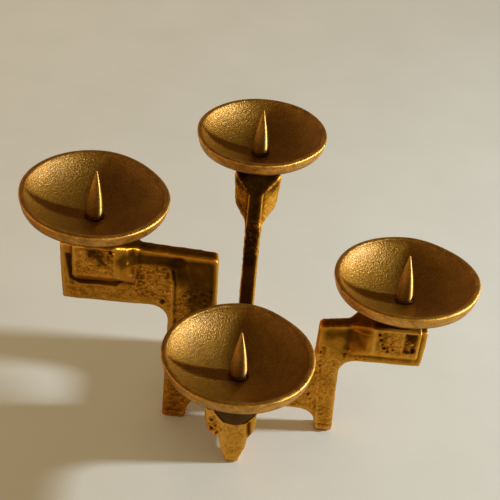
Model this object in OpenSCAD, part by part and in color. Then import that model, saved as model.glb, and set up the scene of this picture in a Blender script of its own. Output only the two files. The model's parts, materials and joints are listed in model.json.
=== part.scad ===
// Advent candle holder: two cast bronze plates crossed on edge, with a stepped arm at each of
// their four ends. Every arm ends in a block that carries a drip bowl, a washer and a screw-in
// spike. The origin is on the table, at the middle of the footprint. +X runs to the right arm
// and +Y to the rear arm.

/* [Plates] */
// Thickness of both cast plates
plate_t = 9; // [7:0.5:11]
// Height of the arch under the left and right webs
arch_h = 17.5; // [12:0.5:22]
// The same under the front and rear webs, which come down close to the table
low_arch_h = 6; // [4.5:0.5:17.5]
// Height of the top edge of the webs
web_top = 46; // [42:1:52]
// Radius of the upper corners of the legs
corner_r = 3; // [1:0.5:4]
// Radius of the inside corner between a leg and the underside of its arm
armpit_r = 11; // [4:1:14]
// Radius where a web runs into a leg
web_r = 12; // [4:1:14]
// Radius where an arch runs into a foot
arch_r = 11; // [6:1:12]
// How far the top edge of an arm dips towards its leg
top_dip = 3; // [0:0.5:4]
// Radius at the outer edge of a foot
foot_r = 2.5; // [0.5:0.5:4]
// How much wider a foot is at the table than where it leaves the arch
foot_flare = 1.5; // [0:0.5:2]

/* [Left arm] */
// From the crossing to the spike
left_reach = 92; // [84:1:100]
// Height of the top edge of the arm
left_top = 131; // [120:1:140]
// Depth of the arm, from its top edge to its underside
left_depth = 41; // [30:1:48]
// From the crossing to the inner edge of the leg
left_leg_in = 18; // [14:1:22]
// Width of the leg
left_leg_w = 29.5; // [22:0.5:34]
// Width of the foot
left_foot_w = 15; // [10:0.5:20]
// Height of the block above the top edge of the arm
left_rise = 6.5; // [4:0.5:9]
// Height of the block's upright sides
left_side = 23.5; // [18:0.5:25]
// From the spike to the inner end of the block
left_block_in = 15; // [12:0.5:18]
// From the spike to the outer end of the block
left_block_out = 10.5; // [9:0.5:14]
// How far the plate runs on past the block
left_tail = 9; // [2:0.5:12]
// Height of the bowl's rim above the block
left_stand = 28.5; // [26:0.5:34]
// Lean of the bowl towards the front, in degrees
left_lean_front_angle = 1.5; // [-3:0.5:3]
// Lean of the bowl to the right, in degrees
left_lean_right_angle = 3; // [-3:0.5:3]

/* [Right arm] */
// From the crossing to the spike
right_reach = 94; // [86:1:102]
// Height of the top edge of the arm
right_top = 88.5; // [80:0.5:96]
// Depth of the arm, from its top edge to its underside
right_depth = 27.5; // [22:0.5:32]
// From the crossing to the inner edge of the leg
right_leg_in = 46; // [40:1:50]
// Width of the leg
right_leg_w = 16; // [12:0.5:20]
// Width of the foot
right_foot_w = 11.5; // [8:0.5:13]
// Height of the block above the top edge of the arm
right_rise = 8; // [6:0.5:12]
// Height of the block's upright sides
right_side = 22; // [16:0.5:23]
// From the spike to the inner end of the block
right_block_in = 17; // [14:0.5:19]
// From the spike to the outer end of the block
right_block_out = 12; // [9:0.5:15]
// How far the plate runs on past the block
right_tail = 5.5; // [0:0.5:8]
// Height of the bowl's rim above the block
right_stand = 29; // [26:0.5:34]
// Lean of the bowl towards the front, in degrees
right_lean_front_angle = -2.5; // [-3:0.5:3]
// Lean of the bowl to the right, in degrees
right_lean_right_angle = -1.5; // [-3:0.5:3]

/* [Front arm] */
// From the crossing to the spike
front_reach = 69.5; // [64:0.5:76]
// Height of the top edge of the arm
front_top = 73; // [68:1:80]
// Depth of the arm, from its top edge to its underside
front_depth = 27; // [22:0.5:32]
// From the crossing to the inner edge of the leg
front_leg_in = 22; // [18:1:24]
// Width of the leg
front_leg_w = 18; // [14:0.5:20]
// Width of the foot
front_foot_w = 12; // [9:0.5:14]
// Height of the block above the top edge of the arm
front_rise = 8.5; // [6:0.5:12]
// Height of the block's upright sides
front_side = 16; // [13:0.5:20]
// From the spike to the inner end of the block
front_block_in = 15; // [12:0.5:18]
// From the spike to the outer end of the block
front_block_out = 11; // [9:0.5:15]
// How far the plate runs on past the block
front_tail = 0; // [0:0.5:6]
// How far the block stands to the right of its plate
front_shift = -2; // [-3:0.5:3]
// Height of the bowl's rim above the block
front_stand = 34.5; // [30:0.5:38]
// Lean of the bowl towards the front, in degrees
front_lean_front_angle = 0; // [-3:0.5:3]
// Lean of the bowl to the right, in degrees
front_lean_right_angle = 0; // [-3:0.5:3]

/* [Rear arm] */
// From the crossing to the spike
rear_reach = 100; // [92:1:108]
// Height of the top edge of the arm
rear_top = 126; // [116:1:134]
// Depth of the arm, from its top edge to its underside
rear_depth = 38; // [30:1:46]
// From the crossing to the inner edge of the leg
rear_leg_in = 43; // [38:1:48]
// Width of the leg
rear_leg_w = 28; // [22:0.5:32]
// Width of the foot
rear_foot_w = 15; // [10:0.5:20]
// Height of the block above the top edge of the arm
rear_rise = 6.5; // [4:0.5:9]
// Height of the block's upright sides
rear_side = 22.5; // [18:0.5:25]
// From the spike to the inner end of the block
rear_block_in = 15.5; // [12:0.5:18]
// From the spike to the outer end of the block
rear_block_out = 12; // [9:0.5:14]
// How far the plate runs on past the block
rear_tail = 6; // [2:0.5:10]
// Height of the bowl's rim above the block
rear_stand = 23.5; // [23:0.5:30]
// Lean of the bowl towards the front, in degrees
rear_lean_front_angle = 0; // [-3:0.5:3]
// Lean of the bowl to the right, in degrees
rear_lean_right_angle = 0; // [-3:0.5:3]

/* [Blocks and seats] */
// Width of a block across its plate
block_w = 29; // [26:0.5:34]
// Length over which a block flares out of the arm on its inner side
flare_l = 13; // [8:0.5:16]
// How much narrower a block is on each side at the bottom of its upright sides
block_draft = 1.5; // [0:0.25:2]
// How much wider the arm is than its plate just under a block
swell = 1.5; // [0.5:0.25:4]
// The same for the front arm, whose end face widens all the way up
front_swell = 7.5; // [4:0.5:10]
// Share of that widening which the arm has at half its height
bow_share = 0.78; // [0.5:0.02:0.9]
// Radius of the tapered seat at the top of a block
seat_r = 13; // [11.5:0.25:13.5]
// The same on the front arm, where the seat breaks out through the end of its block
front_seat_r = 16.25; // [14:0.25:17]
// How much narrower a seat is at its bottom
seat_taper = 4.25; // [2:0.25:5]
// Depth of a seat
seat_depth = 9.2; // [7:0.2:10]
// Depth of the tapped hole below the seat
tap_depth = 12; // [9:0.5:13]

/* [Bowls] */
// Radius of the left, right and front bowls over their rims
bowl_r = 42.5; // [40:0.5:46]
// Radius of the rear bowl, which was cast a little smaller
rear_bowl_r = 41.3; // [39:0.1:44]
// Inner depth of a bowl
bowl_depth = 17; // [15:0.5:18]
// Wall of a bowl in its middle. It grows thicker towards the rim
bowl_wall = 4; // [3:0.25:4.5]
// Height of the rim's outer face
rim_h = 7.2; // [6:0.1:9]
// How much narrower a bowl is at the foot of that face
rim_draft = 1.1; // [0:0.1:2]
// Radius of the rounded lip
lip_r = 2; // [1.5:0.1:2.25]
// How much narrower the neck of a bowl is at the shell than at the top of its seat
neck_draft = 3; // [1:0.25:4]
// Radius of the flat pad that the washer lies on
pad_r = 6.5; // [6:0.1:8]

/* [Spikes and washers] */
// Radius of a spike where it is widest
spike_r = 4.8; // [4:0.1:5.2]
// Radius of a spike at its foot, where it is drawn in
spike_foot_r = 4.3; // [3.8:0.1:5]
// Height of a spike above its washer
spike_h = 29.5; // [24:0.5:36]
// Radius of the blunted tip
tip_r = 0.35; // [0.2:0.05:0.6]
// Radius of the threaded stud, over its thread
stud_r = 3; // [2.5:0.1:3.4]
// Length of stud that is screwed into the block
thread_l = 11; // [7:0.5:11.5]
// Outer radius of a washer
washer_r = 5.6; // [5.3:0.1:5.9]
// Thickness of a washer
washer_t = 1.5; // [1:0.1:2]

/* [Crossing] */
// Clearance on each side where the two plates slot into each other
slot_gap = 0.1; // [0.05:0.05:0.2]
// Radius of the crossing screw, over its thread
screw_r = 1.5; // [1.2:0.1:1.8]
// Radius of the screw's countersunk head
head_r = 2.9; // [2.6:0.1:3.1]
// How far the crossing screw reaches into the upper plate
screw_bite = 9; // [6:0.5:11]

/* [Hidden] */
$fn = 96;

// Clearances, and the overrun that every cut shares
seat_gap = 0.3;
thread_gap = 0.05;
loose_gap = 0.35;
overrun = 1;

// Small sizes of the castings, the screw and the spikes
end_r = 1.2;
tail_lean = 1.5;
leg_lean = 1.5;
driver_w = 0.8;
driver_depth = 1.1;
arc_steps = 6;
spike_steps = 10;

// One row for each arm, read through the functions under it
left = [180, left_reach, left_top, left_depth, left_leg_in, left_leg_w, left_foot_w, left_rise,
    left_side, left_block_in, left_block_out, left_tail, left_stand,
    left_lean_front_angle, left_lean_right_angle, bowl_r, swell, 0, seat_r, arch_h];
right = [0, right_reach, right_top, right_depth, right_leg_in, right_leg_w, right_foot_w, right_rise,
    right_side, right_block_in, right_block_out, right_tail, right_stand,
    right_lean_front_angle, right_lean_right_angle, bowl_r, swell, 0, seat_r, arch_h];
front = [270, front_reach, front_top, front_depth, front_leg_in, front_leg_w, front_foot_w, front_rise,
    front_side, front_block_in, front_block_out, front_tail, front_stand,
    front_lean_front_angle, front_lean_right_angle, bowl_r, front_swell, front_shift, front_seat_r,
    low_arch_h];
rear = [90, rear_reach, rear_top, rear_depth, rear_leg_in, rear_leg_w, rear_foot_w, rear_rise,
    rear_side, rear_block_in, rear_block_out, rear_tail, rear_stand,
    rear_lean_front_angle, rear_lean_right_angle, rear_bowl_r, swell, 0, seat_r, low_arch_h];

function heading(arm) = arm[0];
function reach(arm) = arm[1];
function top_z(arm) = arm[2];
function under_z(arm) = arm[2] - arm[3];
function leg_in(arm) = arm[4];
function leg_out(arm) = arm[4] + arm[5];
function foot_in(arm) = leg_out(arm) - arm[6];
function block_top(arm) = arm[2] + arm[7];
function block_side(arm) = arm[8];
function block_start(arm) = arm[1] - arm[9];
function block_end(arm) = arm[1] + arm[10];
function arm_end(arm) = block_end(arm) + arm[11];
function stand(arm) = arm[12];
function lean_front(arm) = arm[13];
function lean_right(arm) = arm[14];
function rim_r(arm) = arm[15];
function swell_w(arm) = plate_t + arm[16];
function shift(arm) = arm[17];
function seat_top_r(arm) = arm[18];
function hub_r(arm) = arm[18] - seat_gap;
function arch_z(arm) = arm[19];

// The spike line of an arm: its foot at the top of the block, and its direction
function spike_foot(arm) = [
    reach(arm) * cos(heading(arm)), reach(arm) * sin(heading(arm)), block_top(arm)];
function spike_axis(arm) = [
    sin(lean_right(arm)) * cos(lean_front(arm)), -sin(lean_front(arm)),
    cos(lean_front(arm)) * cos(lean_right(arm))];

// How far a bowl reaches from the crossing, along a level direction
function bowl_reach(arm, way) = way * (spike_foot(arm) + spike_axis(arm) * (stand(arm) - lip_r))
    + (rim_r(arm) - lip_r) * sqrt(1 - pow(way * spike_axis(arm), 2)) + lip_r;
middle_x = (bowl_reach(right, [1, 0, 0]) - bowl_reach(left, [-1, 0, 0])) / 2;
middle_y = (bowl_reach(rear, [0, 1, 0]) - bowl_reach(front, [0, -1, 0])) / 2;

// The shell of a bowl lies between two spheres. Heights are from the top of the block
function sphere_r(r, h) = (pow(r, 2) + pow(h, 2)) / (2 * h);
function inner_r(arm) = sphere_r(rim_r(arm) - bowl_wall, bowl_depth);
function centre_z(arm) = stand(arm) - bowl_depth + inner_r(arm);
function outer_r(arm) = sphere_r(rim_r(arm) - rim_draft, bowl_depth + bowl_wall - rim_h);
function outer_centre_z(arm) = stand(arm) - bowl_depth - bowl_wall + outer_r(arm);
function shell_z(arm, r, skin) = centre_z(arm) - sqrt(pow(inner_r(arm) + skin, 2) - pow(r, 2));
function pad_z(arm) = shell_z(arm, pad_r, 0);

// A polygon of [x, y, radius] corners, each rounded by an arc of its radius
function unit(v) = v / norm(v);
function flat(p) = [p[0], p[1]];
function turned(v, angle) = [
    v[0] * cos(angle) - v[1] * sin(angle), v[0] * sin(angle) + v[1] * cos(angle)];
function rounded_corner(a, b, c, r) =
    let (u = unit(a - b), v = unit(c - b), half = acos(u * v) / 2,
        centre = b + unit(u + v) * (r / sin(half)),
        start = b + u * (r / tan(half)) - centre,
        way = u[0] * v[1] - u[1] * v[0] > 0 ? -1 : 1)
    [for (i = [0:arc_steps]) centre + turned(start, way * (180 - 2 * half) * i / arc_steps)];
function rounded(points) = [for (i = [0:len(points) - 1])
    let (n = len(points), a = flat(points[(i + n - 1) % n]), b = flat(points[i]),
        c = flat(points[(i + 1) % n]), r = points[i][2])
    each (r == 0 ? [b] : rounded_corner(a, b, c, r))];

// Places a piece that is modelled about the crossing
module at_crossing() translate([-middle_x, -middle_y, 0]) children();

// Places a piece that is modelled along +X from the crossing
module along(arm) at_crossing() rotate([0, 0, heading(arm)]) children();

// Places a piece that is modelled about the Z axis, with zero height at the top of the block
module on_block(arm) at_crossing() translate(spike_foot(arm))
    rotate([lean_front(arm), lean_right(arm), 0]) children();

// Side view of an arm, from just past the crossing to the end of the plate
function arm_outline(arm) = [
    [-plate_t, arch_z(arm), 0],
    [foot_in(arm) - foot_flare, arch_z(arm), max(0, min(arch_r, arch_z(arm) - foot_r - end_r))],
    [foot_in(arm), 0, foot_r],
    [leg_out(arm), 0, foot_r],
    [leg_out(arm) - leg_lean, under_z(arm), armpit_r],
    [arm_end(arm) - tail_lean, under_z(arm), end_r],
    [arm_end(arm), top_z(arm), end_r],
    [block_start(arm) - flare_l, top_z(arm), 0],
    [leg_in(arm), top_z(arm) - top_dip, corner_r],
    [leg_in(arm) - leg_lean, web_top, web_r],
    [-plate_t, web_top, 0]];
module arm_plate(arm) along(arm) rotate([90, 0, 0])
    linear_extrude(plate_t, center = true) polygon(rounded(arm_outline(arm)));

// A block is what three views of it have in common: from above, from the side and on its end
module block_plan(arm) polygon([
    [block_start(arm) - flare_l, plate_t / 2], [block_start(arm) - flare_l, -plate_t / 2],
    [block_start(arm), shift(arm) - block_w / 2], [block_end(arm), shift(arm) - block_w / 2],
    [block_end(arm), shift(arm) + block_w / 2], [block_start(arm), shift(arm) + block_w / 2]]);
module block_side_view(arm) polygon([
    [block_start(arm) - flare_l, under_z(arm)], [block_start(arm) - flare_l, top_z(arm)],
    [block_start(arm), block_top(arm)], [block_end(arm), block_top(arm)],
    [block_end(arm), under_z(arm)]]);
module block_end_view(arm) {
    side_x = block_w / 2 - block_draft;
    side_z = block_top(arm) - block_side(arm);
    swell_x = swell_w(arm) / 2;
    swell_z = side_z - (side_x - swell_x);
    bow_x = plate_t / 2 + bow_share * (swell_x - plate_t / 2);
    bow_z = (under_z(arm) + swell_z) / 2;
    polygon([
        [shift(arm) - block_w / 2, block_top(arm)], [shift(arm) - side_x, side_z],
        [-swell_x, swell_z], [-bow_x, bow_z], [-plate_t / 2, under_z(arm)],
        [plate_t / 2, under_z(arm)], [bow_x, bow_z], [swell_x, swell_z],
        [shift(arm) + side_x, side_z], [shift(arm) + block_w / 2, block_top(arm)]]);
}
module block(arm) along(arm) intersection() {
    linear_extrude(block_top(arm)) block_plan(arm);
    rotate([90, 0, 0]) linear_extrude(block_w + 2 * abs(shift(arm)), center = true) block_side_view(arm);
    rotate([90, 0, 90]) linear_extrude(arm_end(arm)) block_end_view(arm);
}

// What is cut out of a block: the tapered seat, and the tapped hole below it
module seat_cut(arm) on_block(arm) {
    translate([0, 0, -seat_depth]) cylinder(
        r1 = seat_top_r(arm) - seat_taper, r2 = seat_top_r(arm) + seat_taper / seat_depth * overrun,
        h = seat_depth + overrun);
    translate([0, 0, -seat_depth - tap_depth])
        cylinder(r = stud_r + thread_gap, h = tap_depth + overrun);
}

module casting(arms) color([0.55, 0.38, 0.14]) difference() {
    union() for (arm = arms) {
        arm_plate(arm);
        block(arm);
    }
    for (arm = arms) seat_cut(arm);
}

// The plates slot together half and half, so each has a slot over half the height of the webs
slot_w = plate_t + 2 * slot_gap;
slot_z = (arch_h + web_top) / 2;

module left_right_plate() difference() {
    casting([left, right]);
    at_crossing() {
        translate([-slot_w / 2, -plate_t, slot_z]) cube([slot_w, 2 * plate_t, web_top]);
        translate([0, 0, arch_h - overrun]) {
            cylinder(r = screw_r + loose_gap, h = slot_z);
            cylinder(r1 = head_r + seat_gap + overrun, r2 = seat_gap, h = head_r + overrun);
        }
    }
}

module front_rear_plate() difference() {
    casting([front, rear]);
    at_crossing() {
        translate([-plate_t, -slot_w / 2, 0]) cube([2 * plate_t, slot_w, slot_z]);
        translate([0, 0, slot_z - overrun])
            cylinder(r = screw_r + thread_gap, h = screw_bite + 2 * overrun);
    }
}

// Countersunk screw that comes up from under the webs and locks the crossing
module crossing_screw() color([0.75, 0.62, 0.32]) at_crossing() difference() {
    translate([0, 0, arch_h]) {
        cylinder(r1 = head_r, r2 = 0, h = head_r);
        cylinder(r = screw_r, h = slot_z - arch_h + screw_bite);
    }
    translate([-head_r, -driver_w / 2, arch_h - overrun])
        cube([2 * head_r, driver_w, driver_depth + overrun]);
}

// Half section of a bowl: the shell, its rim with a rounded lip, and the hub that stands in the seat
module bowl_section(arm) {
    neck_r = hub_r(arm) - neck_draft;
    face_r = rim_r(arm) - rim_draft;
    face_z = stand(arm) - rim_h;
    crown_r = rim_r(arm) - lip_r;
    lip_z = stand(arm) - lip_r;
    lip_in = sqrt(pow(inner_r(arm), 2) - pow(centre_z(arm) - lip_z, 2));
    difference() {
        union() {
            intersection() {
                translate([0, outer_centre_z(arm)]) circle(r = outer_r(arm));
                square([face_r, face_z]);
            }
            polygon([
                [0, face_z], [face_r, face_z], [rim_r(arm), lip_z], [crown_r, lip_z],
                [crown_r, stand(arm)], [lip_in, lip_z], [0, lip_z]]);
        }
        translate([0, centre_z(arm)]) circle(r = inner_r(arm));
    }
    translate([crown_r, lip_z]) circle(r = lip_r);
    polygon([
        [0, -seat_depth], [hub_r(arm) - seat_taper, -seat_depth], [hub_r(arm), 0],
        [neck_r, shell_z(arm, neck_r, bowl_wall / 2)], [pad_r, shell_z(arm, pad_r, bowl_wall / 2)],
        [pad_r, pad_z(arm)], [0, pad_z(arm)]]);
}
module bowl(arm) color([0.62, 0.45, 0.18]) on_block(arm) difference() {
    rotate_extrude() bowl_section(arm);
    translate([0, 0, -seat_depth - overrun])
        cylinder(r = stud_r + loose_gap, h = pad_z(arm) + seat_depth + 2 * overrun);
}

module washer(arm) color([0.4, 0.28, 0.12]) on_block(arm) translate([0, 0, pad_z(arm)])
    difference() {
        cylinder(r = washer_r, h = washer_t);
        translate([0, 0, -overrun]) cylinder(r = stud_r + loose_gap, h = washer_t + 2 * overrun);
    }

// A spike swells out from its tip in a quarter wave, and its stud goes down through the bowl
module spike(arm) color([0.78, 0.6, 0.26]) on_block(arm) translate([0, 0, pad_z(arm) + washer_t])
    rotate_extrude() polygon(concat(
        [[0, -stud_l(arm)], [stud_r, -stud_l(arm)], [stud_r, 0], [spike_foot_r, 0]],
        [for (i = [1:spike_steps]) let (share = i / spike_steps)
            [tip_r + (spike_r - tip_r) * cos(90 * share), spike_h * share]],
        [[0, spike_h]]));
function stud_l(arm) = pad_z(arm) + washer_t + seat_depth + thread_l;

left_right_plate();
front_rear_plate();
crossing_screw();
bowl(left);  // bowl_left
bowl(right);  // bowl_right
bowl(front);  // bowl_front
bowl(rear);  // bowl_rear
washer(left);  // washer_left
washer(right);  // washer_right
washer(front);  // washer_front
washer(rear);  // washer_rear
spike(left);  // spike_left
spike(right);  // spike_right
spike(front);  // spike_front
spike(rear);  // spike_rear
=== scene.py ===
import json
import math

import bpy
import numpy as np
from mathutils import Matrix, Vector, noise

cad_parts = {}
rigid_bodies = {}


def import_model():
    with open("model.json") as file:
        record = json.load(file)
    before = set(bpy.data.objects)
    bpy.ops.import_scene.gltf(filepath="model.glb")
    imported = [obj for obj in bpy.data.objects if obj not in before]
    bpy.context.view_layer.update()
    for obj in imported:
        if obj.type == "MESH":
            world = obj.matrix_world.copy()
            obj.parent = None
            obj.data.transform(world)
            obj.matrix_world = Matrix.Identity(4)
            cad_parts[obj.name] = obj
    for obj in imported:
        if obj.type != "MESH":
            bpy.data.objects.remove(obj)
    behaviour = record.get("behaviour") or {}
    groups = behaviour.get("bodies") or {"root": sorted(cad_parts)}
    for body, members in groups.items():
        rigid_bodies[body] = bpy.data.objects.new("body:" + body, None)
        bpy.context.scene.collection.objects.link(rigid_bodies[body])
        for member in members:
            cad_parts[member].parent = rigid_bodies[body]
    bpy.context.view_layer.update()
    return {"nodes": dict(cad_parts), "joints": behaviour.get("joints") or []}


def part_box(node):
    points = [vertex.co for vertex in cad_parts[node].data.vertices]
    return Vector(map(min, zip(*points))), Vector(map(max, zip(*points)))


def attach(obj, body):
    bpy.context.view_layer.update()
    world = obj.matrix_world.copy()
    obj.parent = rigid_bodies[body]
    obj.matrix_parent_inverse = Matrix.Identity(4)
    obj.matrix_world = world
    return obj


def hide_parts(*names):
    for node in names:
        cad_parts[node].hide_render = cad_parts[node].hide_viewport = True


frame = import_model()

# Dresses the imported solids of the candle holder. The two castings get their relief, patina and painted
# shade and highlights, and the bowls, spikes and collars are turned anew with curves that their solids
# leave out. The table, the light and the camera are those of the photograph.

# Sizes are in metres. MM turns a size in millimetres into metres
MM = 0.001
ARMS = ("left", "right", "front", "rear")

# Camera, measured from the photograph about the crossing of the plates
CAMERA_FROM_CROSSING = Vector((4.8, -609.9, 584.3)) * MM
CAMERA_HEADING = math.radians(0.471)
CAMERA_ELEVATION = math.radians(36.387)
CAMERA_ROLL = math.radians(5.077)
LENS = 93.6
VIEW_DEPTH = 20

# Bowls: sizes about the spike line, with heights from the foot of the hub
RIM_R = {"left": 42.5 * MM, "right": 42.5 * MM, "front": 42.5 * MM, "rear": 41.3 * MM}
STAND = {"left": 28.5 * MM, "right": 29 * MM, "front": 34.5 * MM, "rear": 23.5 * MM}
BOWL_DEPTH = 17 * MM
BOWL_WALL = 4 * MM
RIM_H = 7.2 * MM
RIM_DRAFT = 1.1 * MM
RIM_ROUND = 0.9 * MM
CROWN_W = 3.6 * MM
CROWN_H = 1.2 * MM
STEEP_SHARE = 0.88
HUB_R = {"left": 12.7 * MM, "right": 12.7 * MM, "front": 15.95 * MM, "rear": 12.7 * MM}
HUB_TAPER = 4.25 * MM
NECK_DRAFT = 3 * MM
SEAT_DEPTH = 9.2 * MM
PAD_R = 6.5 * MM
HOLE_R = 3.35 * MM

# How far each rim strays from round, in millimetres, every 45 degrees from the right towards the rear
RIM_SWAY = {
    "left": (0.3, -1.0, 0.8, 0.5, 0.9, 1.2, 0.2, 0),
    "right": (0.7, -0.9, 0.6, 0.9, 0.4, -0.3, -0.3, 0.4),
    "front": (-0.9, -1.6, 1.2, 0.7, 1.1, 0.6, 0, 0.2),
    "rear": (0.2, 0.3, -0.3, -0.8, -0.2, 0.8, 0.3, -0.4)}
WAVE_H = 0.25 * MM
WAVE_SIZE = 23

# Steps of the turned pieces round their axis, and of the curves in their outlines, with the angles
# in degrees between which the lip is round
BOWL_STEPS = 240
SMALL_STEPS = 64
INSIDE_STEPS = 48
UNDER_STEPS = 34
CROWN_STEPS = 18
CROWN_FROM = 4
CROWN_TO = 170
SPIKE_STEPS = 24
ROUND_STEPS = 5
EDGE_STEPS = 6
MERGE = 0.001 * MM

# Spikes and washers
SPIKE_R = 4.8 * MM
SPIKE_FOOT_R = 4.3 * MM
SPIKE_FOOT_H = 1.4 * MM
SPIKE_FLARE = 0.15 * MM
SPIKE_H = 29.5 * MM
BELLY_FROM = 0.1
TIP_R = 0.35 * MM
STUD_R = 3 * MM
THREAD_L = 11 * MM
WASHER_R = 5.6 * MM
WASHER_T = 1.5 * MM
WASHER_EDGE = 0.6 * MM
WASHER_GAP = 0.02 * MM
SEAT_GAP = 0.3 * MM

# Castings: how near corners are welded, the edge length of the small faces that they are remade in,
# and how often these are smoothed
WELD = 0.005 * MM
VOXEL = 0.64 * MM
SOFTEN_ROUNDS = 7

# Lumps that the sand leaves: their size and height in millimetres, and a seed
SAND_LUMPS = ((13, 0.24, 1), (4.2, 0.13, 2), (1.7, 0.05, 3))

# How high relief stands, as a share of the heights given below, and the grit where nothing is rough
PRESS = 0.85
PLAIN_GRIT = 0.25

# Round a seat, in millimetres: how far past its wall and floor it is guarded, and room for the stud
WALL_EDGE = 1
FLOOR_EDGE = 0.5
STUD_ROOM_R = 5
STUD_ROOM_L = 25

# How much each part of a bowl is rubbed bright or painted dark, and how gritty it is, from 0 to 1. The hub
# and the underside are darker as painted shade under the bowl; the lip's face and outer edge are brighter,
# partly as rubbed metal and partly as a painted highlight
BOWL_RUB_AND_SHADE = {"hub": 0.15, "below": 0.36, "inside": 0.47, "crown": 0.5, "face": 0.74}
BOWL_GRIT = 0.9
HUB_GRIT = 0.3
BRIGHT_EDGE = 0.3 * MM

# How much the rub varies from patch to patch, on the lip and elsewhere, with the width of a patch in
# millimetres and its height as a share of that
LIP_PATCHES = 0.17
BOWL_PATCHES = 0.04
PATCH_SIZE = 5
PATCH_HEIGHT = 0.3

# The table, the painted glow that the camera alone sees on top of it, and how near the object that glow is
# darkened as painted shade
PAPER_ROUGH = 0.8
PAPER_GLOSS = 0.25
TABLE_SIZE = 6
TABLE_SHADE = (0.48, 0.51, 0.505)
TABLE_LIGHT = (0.52, 0.545, 0.54)
TABLE_CLOUD = 70
TABLE_GLOW = (0.178, 0.142, 0.08)
FAR_GLOW = (0.46, 0.42, 0.34)
GLOW_NEAR = 0.4
GLOW_FAR = 2.5
NEAR_FLOOR = 60 * MM

# How pale the paper is painted from its left to its right: painted light, paler where the lamp is far
TONE_LEFT = -300 * MM
TONE_RIGHT = 900 * MM
TONES = ((0, 1.3), (0.5, 0.72), (0.58, 0.53), (0.67, 0.42), (0.8, 0.34), (1, 0.4))

# The room behind the table, as the camera alone sees it
BACKDROP = (0.6, 0.56, 0.48)

# Light from the room, by the sine of the height over the horizon
SKY = ((0.0, (0.8, 0.52, 0.26)), (0.3, (0.42, 0.27, 0.13)), (0.55, (0.16, 0.1, 0.044)),
       (0.85, (0.13, 0.08, 0.034)))
SKY_LEFT = 1.85
SKY_RIGHT = 0.5

# The one lamp, placed from the crossing
LAMP_PLACE = (0.98, 0.1, 0.477)
LAMP_SIZE = 115 * MM
LAMP_POWER = 16
LAMP_COLOUR = (0.95, 1.0, 1.0)

# Colours of the metals, from dark patina and painted shade to rubbed edges and painted highlights
CAST_COLOURS = ((0.22, (0.045, 0.018, 0.001)), (0.38, (0.18, 0.075, 0.006)), (0.55, (0.66, 0.29, 0.022)),
                (0.8, (1.0, 0.54, 0.09)))
BOWL_COLOURS = ((0.15, (0.03, 0.011, 0.001)), (0.4, (0.205, 0.099, 0.009)), (0.55, (0.37, 0.188, 0.02)),
                (0.75, (1.0, 0.5, 0.077)))
SPIKE_COLOURS = ((0.3, (0.5, 0.27, 0.05)), (0.7, (0.74, 0.46, 0.13)))
COLLAR_COLOURS = ((0.3, (0.06, 0.03, 0.008)), (0.7, (0.2, 0.11, 0.03)))
SCREW_COLOURS = ((0.3, (0.5, 0.36, 0.13)), (0.7, (0.72, 0.55, 0.24)))
EDGE_TINT = (1.0, 0.62, 0.28)
COAT_ROUGH = 0.26

# Mottling of the metals: sizes in millimetres, how strongly each shows, and the part of its range
# over which the roughness changes
CLOUD_SIZE = 16
CLOUD_SHARE = 0.6
CLOUD_BASE = 0.2
SPECK_SIZE = 1.2
SPECK_SHARE = 1.6
ROUGH_SPAN = (0.3, 0.7)
SPIKE_STRETCH = 0.89
SMOOTH_ANGLE = math.radians(50)


# Small helpers that work as the tools do by hand

def deselect_all():
    """Nothing is selected and nothing is active any more."""
    for one in bpy.context.selected_objects:
        one.select_set(False)
    bpy.context.view_layer.objects.active = None


def pick(piece):
    """Makes one object the only one selected, and the active one."""
    deselect_all()
    piece.select_set(True)
    bpy.context.view_layer.objects.active = piece


def finish_mesh(piece):
    """Puts the object's place into its mesh, so that the object itself sits at the origin."""
    pick(piece)
    bpy.ops.object.transform_apply(location=True, rotation=True, scale=True)


def apply_modifier(piece, kind, **settings):
    """Adds a modifier with these settings and applies it."""
    pick(piece)
    bpy.ops.object.modifier_add(type=kind)
    modifier = piece.modifiers[-1]
    for name, value in settings.items():
        setattr(modifier, name, value)
    bpy.ops.object.modifier_apply(modifier=modifier.name)


def turned(name, outline, steps):
    """One vertex is extruded along the outline, in (radius, height), and spun about the Z axis."""
    deselect_all()
    bpy.ops.mesh.primitive_plane_add(size=MM, location=(0, 0, 0))
    piece = bpy.context.object
    piece.name = name
    bpy.ops.object.mode_set(mode="EDIT")
    bpy.ops.mesh.select_mode(type="VERT")
    bpy.ops.mesh.select_all(action="SELECT")
    bpy.ops.mesh.merge(type="CENTER")
    bpy.ops.mesh.select_all(action="SELECT")
    bpy.ops.transform.translate(value=(outline[0][0], 0, outline[0][1]))
    for here, there in zip(outline, outline[1:]):
        step = (there[0] - here[0], 0, there[1] - here[1])
        bpy.ops.mesh.extrude_region_move(TRANSFORM_OT_translate={"value": step})
    bpy.ops.mesh.select_all(action="SELECT")
    bpy.ops.mesh.spin(steps=steps, angle=2 * math.pi, center=(0, 0, 0), axis=(0, 0, 1))
    bpy.ops.mesh.select_all(action="SELECT")
    bpy.ops.mesh.remove_doubles(threshold=MERGE)
    bpy.ops.mesh.normals_make_consistent(inside=False)
    bpy.ops.object.mode_set(mode="OBJECT")
    return piece


def arc(centre, radius, start, end, count):
    """Points on an arc in the (radius, height) plane, from one angle to another, in degrees."""
    angles = np.radians(np.linspace(start, end, count))
    return [(centre[0] + radius * math.cos(a), centre[1] + radius * math.sin(a)) for a in angles]


# Places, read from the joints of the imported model

def joint(name):
    """The joint of this name, with its place and axis."""
    return next(j for j in frame["joints"] if j["name"] == name)


screw_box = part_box("crossing_screw")
crossing = Vector(((screw_box[0][0] + screw_box[1][0]) / 2, (screw_box[0][1] + screw_box[1][1]) / 2, 0))


def spike_line(arm):
    """The middle of the washer's seat and the direction of the spike."""
    turn = joint(arm + "_spike_turn")
    return Vector(turn["pos_m"]), Vector(turn["axis"]).normalized()


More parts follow.
